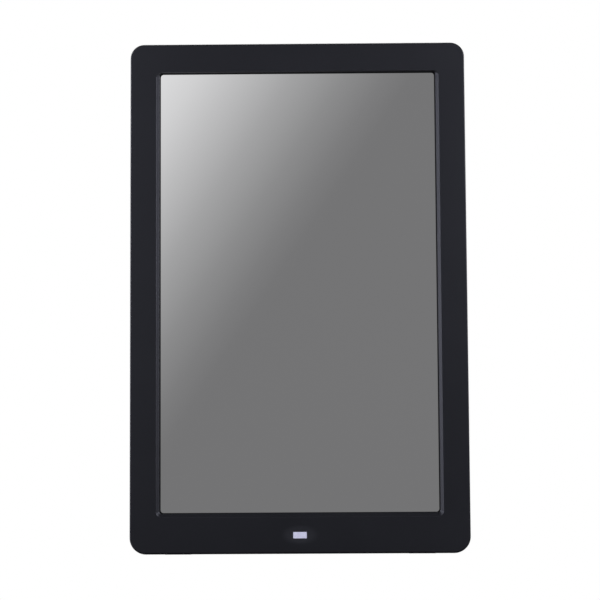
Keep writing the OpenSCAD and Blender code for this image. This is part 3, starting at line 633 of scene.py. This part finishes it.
# ---------------------------------------------------------------- carried-over CAD nodes
CARRIED = {
    "polariser_film": screen_mat, "lcd_glass": glass_mat, "lcd_frame": steel_mat,
    "diffuser_films": film_mat, "light_guide": clear_mat, "reflector_sheet": film_mat,
    "led_bar": led_mat, "lcd_tray": steel_mat, "panel_driver_board": board_mat,
    "panel_brackets": steel_mat, "panel_screws": screw_mat, "ir_board": board_mat,
    "ir_receiver": chip_mat, "indicator_led": led_mat, "ir_board_screws": screw_mat,
    "main_board": board_mat, "board_chips": chip_mat, "capacitors": alu_mat, "usb_port": plated_mat,
    "mini_usb_port": plated_mat, "card_slot": plated_mat, "headphone_jack": socket_mat,
    "dc_jack": socket_mat, "cell_holder": socket_mat, "clock_cell": plated_mat,
    "board_screws": screw_mat, "key_board": board_mat, "key_switches": chip_mat,
    "key_board_screws": screw_mat, "speaker_baskets": chip_mat, "speaker_cones": cone_mat,
    "speaker_magnets": magnet_mat, "speaker_leads": lead_red, "key_lead": flat_mat,
    "ir_lead": lead_grey, "lcd_cable": flat_mat, "rear_cover": cover_mat, "case_screws": screw_mat,
    "base_feet": rubber_mat, "side_feet": rubber_mat, "turntable": cover_mat,
    "friction_washer": film_mat, "clamp_ring": steel_mat, "clamp_screws": screw_mat,
    "hinge_pin": plated_mat, "hinge_washers": plated_mat, "stand_leg": cover_mat,
    "leg_foot": rubber_mat,
}
BEVELS = {"rear_cover": 0.3, "turntable": 0.3, "stand_leg": 0.5, "leg_foot": 0.4, "base_feet": 0.2,
          "side_feet": 0.2, "case_screws": 0.15, "usb_port": 0.1, "card_slot": 0.1}

for name, obj in frame["nodes"].items():
    if name not in CARRIED:
        continue
    obj.data.materials.clear()
    obj.data.materials.append(CARRIED[name])
    if name in BEVELS:
        weld = obj.modifiers.new("weld", "WELD")
        weld.merge_threshold = 0.002 * MM
        flat = obj.modifiers.new("flat", "DECIMATE")
        flat.decimate_type, flat.angle_limit = "DISSOLVE", math.radians(0.5)
        add_bevel(obj, BEVELS[name])

# ---------------------------------------------------------------- studio and camera
def area_light(name, at, to, size, power, colour=(1, 1, 1), size_y=None):
    data = bpy.data.lights.new(name, "AREA")
    data.energy, data.color = power, colour
    data.shape, data.size, data.size_y = "RECTANGLE", size, size_y or size
    obj = bpy.data.objects.new(name, data)
    collection.objects.link(obj)
    obj.location = at
    obj.rotation_euler = (Vector(to) - Vector(at)).to_track_quat("-Z", "Y").to_euler()


target = (0, 0, 0.15)
cool = (0.96, 0.97, 1.0)
area_light("overhead", (0, 0.75, 1.7), target, 1.2, 5)
area_light("front_top", (0.25, -1.5, 1.5), target, 1.1, 0.6, cool)
area_light("left_high", (-1.2, -1.1, 0.9), target, 0.7, 12.5, cool)
area_light("right_high", (1.2, -1.1, 0.9), target, 0.7, 16.5, cool)
area_light("left_low", (-1.4, -0.9, 0.25), target, 0.6, 5, cool)
area_light("left_side", (-1.6, 0.1, 0.4), target, 0.7, 14, cool)
area_light("right_side", (1.5, -0.45, 0.5), target, 0.6, 1.5, cool, 1.0)
area_light("back_softbox", (0.3, 1.6, 1.2), target, 1.4, 18)
area_light("back_left", (-1.2, 1.4, 0.6), target, 0.8, 5)
area_light("back_right", (1.5, 0.7, 0.5), target, 0.8, 8)

world = bpy.data.worlds.new("studio")
scene.world = world
world.use_nodes = True
sky = world.node_tree
sky.nodes.clear()
sky_out = add(sky, "ShaderNodeOutputWorld")
soft = add(sky, "ShaderNodeBackground", Color=(0.004, 0.004, 0.0045, 1))
white = add(sky, "ShaderNodeBackground", Color=(1, 1, 1, 1))
sky_shader = show(sky, white.outputs["Background"], soft.outputs["Background"])
sky.links.new(sky_shader, sky_out.inputs["Surface"])

floor_mesh = bpy.data.meshes.new("floor")
bm = bmesh.new()
bmesh.ops.create_grid(bm, x_segments=1, y_segments=1, size=6.0)
bm.to_mesh(floor_mesh)
bm.free()
floor = bpy.data.objects.new("floor", floor_mesh)
collection.objects.link(floor)
floor_mat, floor_tree, floor_shader = new_material("pale_floor")
floor_shader.inputs["Roughness"].default_value = 0.9
floor_shader.inputs["Specular IOR Level"].default_value = 0.1
grain = noise(floor_tree, coords(floor_tree), 6.0)
tone = ramp(floor_tree, grain, [(0.3, (0.045,) * 3), (0.7, (0.055,) * 3)])
floor_tree.links.new(tone, floor_shader.inputs["Base Color"])
# The sweep shows white and throws little of that white back at the underside
glow = add(floor_tree, "ShaderNodeEmission", Color=(1, 1, 1, 1), Strength=1.0)
floor_seen = show(floor_tree, glow.outputs["Emission"], floor_shader.outputs["BSDF"])
floor_tree.links.new(floor_seen, floor_tree.nodes["Material Output"].inputs["Surface"])
floor_mesh.materials.append(floor_mat)

# Placed and turned so that the body's outline falls where the photograph shows it
camera_data = bpy.data.cameras.new("camera")
camera_data.lens, camera_data.sensor_width = 85.0, 36.0
camera_data.dof.use_dof = False
camera = bpy.data.objects.new("camera", camera_data)
collection.objects.link(camera)
camera.location = (0.00757, -0.83654, 0.30833)
camera.rotation_euler = [math.radians(v) for v in (78.933, 0.460, 0.379)]
scene.camera = camera
scene.view_settings.view_transform = "Standard"
